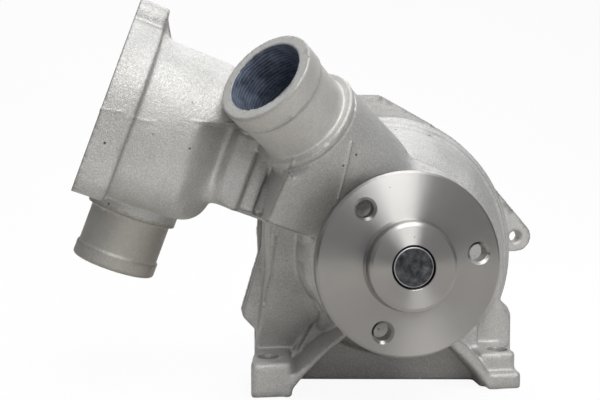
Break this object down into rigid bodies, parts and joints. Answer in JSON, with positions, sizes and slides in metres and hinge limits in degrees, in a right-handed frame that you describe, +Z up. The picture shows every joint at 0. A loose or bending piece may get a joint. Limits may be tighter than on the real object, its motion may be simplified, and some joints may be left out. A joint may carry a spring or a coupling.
{
  "type": "coolant pump",
  "caption": "Engine coolant pump: cast body with a thermostat chamber and hose spigots, a turning shaft with a pulley hub, a face seal and an impeller.",
  "frame": {"origin": "on the shaft axis at the rear mounting face", "axes": "+Y along the shaft towards the engine, so the hub faces -Y; +Z up, away from the feet; +X to the right seen from the hub"},
  "size_m": [0.213, 0.0975, 0.1676],
  "materials": {
    "cast_aluminium": "shot-blasted casting",
    "cover_aluminium": "casting with a machined rear face",
    "gasket_paper": "fibre gasket",
    "zinc_steel": "zinc plated",
    "black_rubber": "moulded rubber",
    "machined_steel": "turned and faced",
    "shaft_steel": "dark hardened steel",
    "bearing_steel": "ground",
    "ball_steel": "polished",
    "cage_plastic": "moulded nylon",
    "shield_rubber": "moulded rubber",
    "impeller_steel": "pressed and machined",
    "seal_steel": "pressed stainless sheet",
    "spring_steel": "drawn wire",
    "carbon": "lapped carbon graphite",
    "seal_ceramic": "lapped ceramic"
  },
  "bodies": {
    "casing": {"pump_housing": "cast_aluminium", "rear_cover": "cover_aluminium", "cover_gasket": "gasket_paper", "cover_screws": "zinc_steel", "outlet_seal_ring": "black_rubber", "bearing_outer_ring": "bearing_steel", "front_bearing_shield": "shield_rubber", "rear_bearing_shield": "shield_rubber", "seal_cup": "seal_steel", "seal_bellows": "black_rubber", "seal_spring": "spring_steel"},
    "rotor": {"hub_flange": "machined_steel", "pump_shaft": "shaft_steel", "water_slinger": "black_rubber", "impeller": "impeller_steel", "seal_mating_ring": "seal_ceramic", "mating_ring_boot": "black_rubber"},
    "front_balls": {"front_bearing_balls": "ball_steel", "front_ball_cage": "cage_plastic"},
    "rear_balls": {"rear_bearing_balls": "ball_steel", "rear_ball_cage": "cage_plastic"},
    "seal_face": {"seal_carbon_ring": "carbon", "seal_drive_ring": "seal_steel"}
  },
  "joints": [
    {"name": "shaft_spin", "type": "hinge", "parent": "casing", "child": "rotor", "pos_m": [0, -0.04, 0], "axis": [0, 1, 0], "continuous": true},
    {"name": "front_cage_spin", "type": "hinge", "parent": "casing", "child": "front_balls", "pos_m": [0, -0.061, 0], "axis": [0, 1, 0], "continuous": true},
    {"name": "rear_cage_spin", "type": "hinge", "parent": "casing", "child": "rear_balls", "pos_m": [0, -0.044, 0], "axis": [0, 1, 0], "continuous": true},
    {"name": "seal_face_travel", "type": "slide", "parent": "casing", "child": "seal_face", "axis": [0, -1, 0], "range_m": [0, 0.0008], "stiffness_N_per_m": 8000, "springref_m": -0.001, "deforming": ["seal_bellows", "seal_spring"]}
  ],
  "couplings": [
    {"joint": "front_cage_spin", "follows": "shaft_spin", "ratio": 0.3529},
    {"joint": "rear_cage_spin", "follows": "shaft_spin", "ratio": 0.3529}
  ]
}
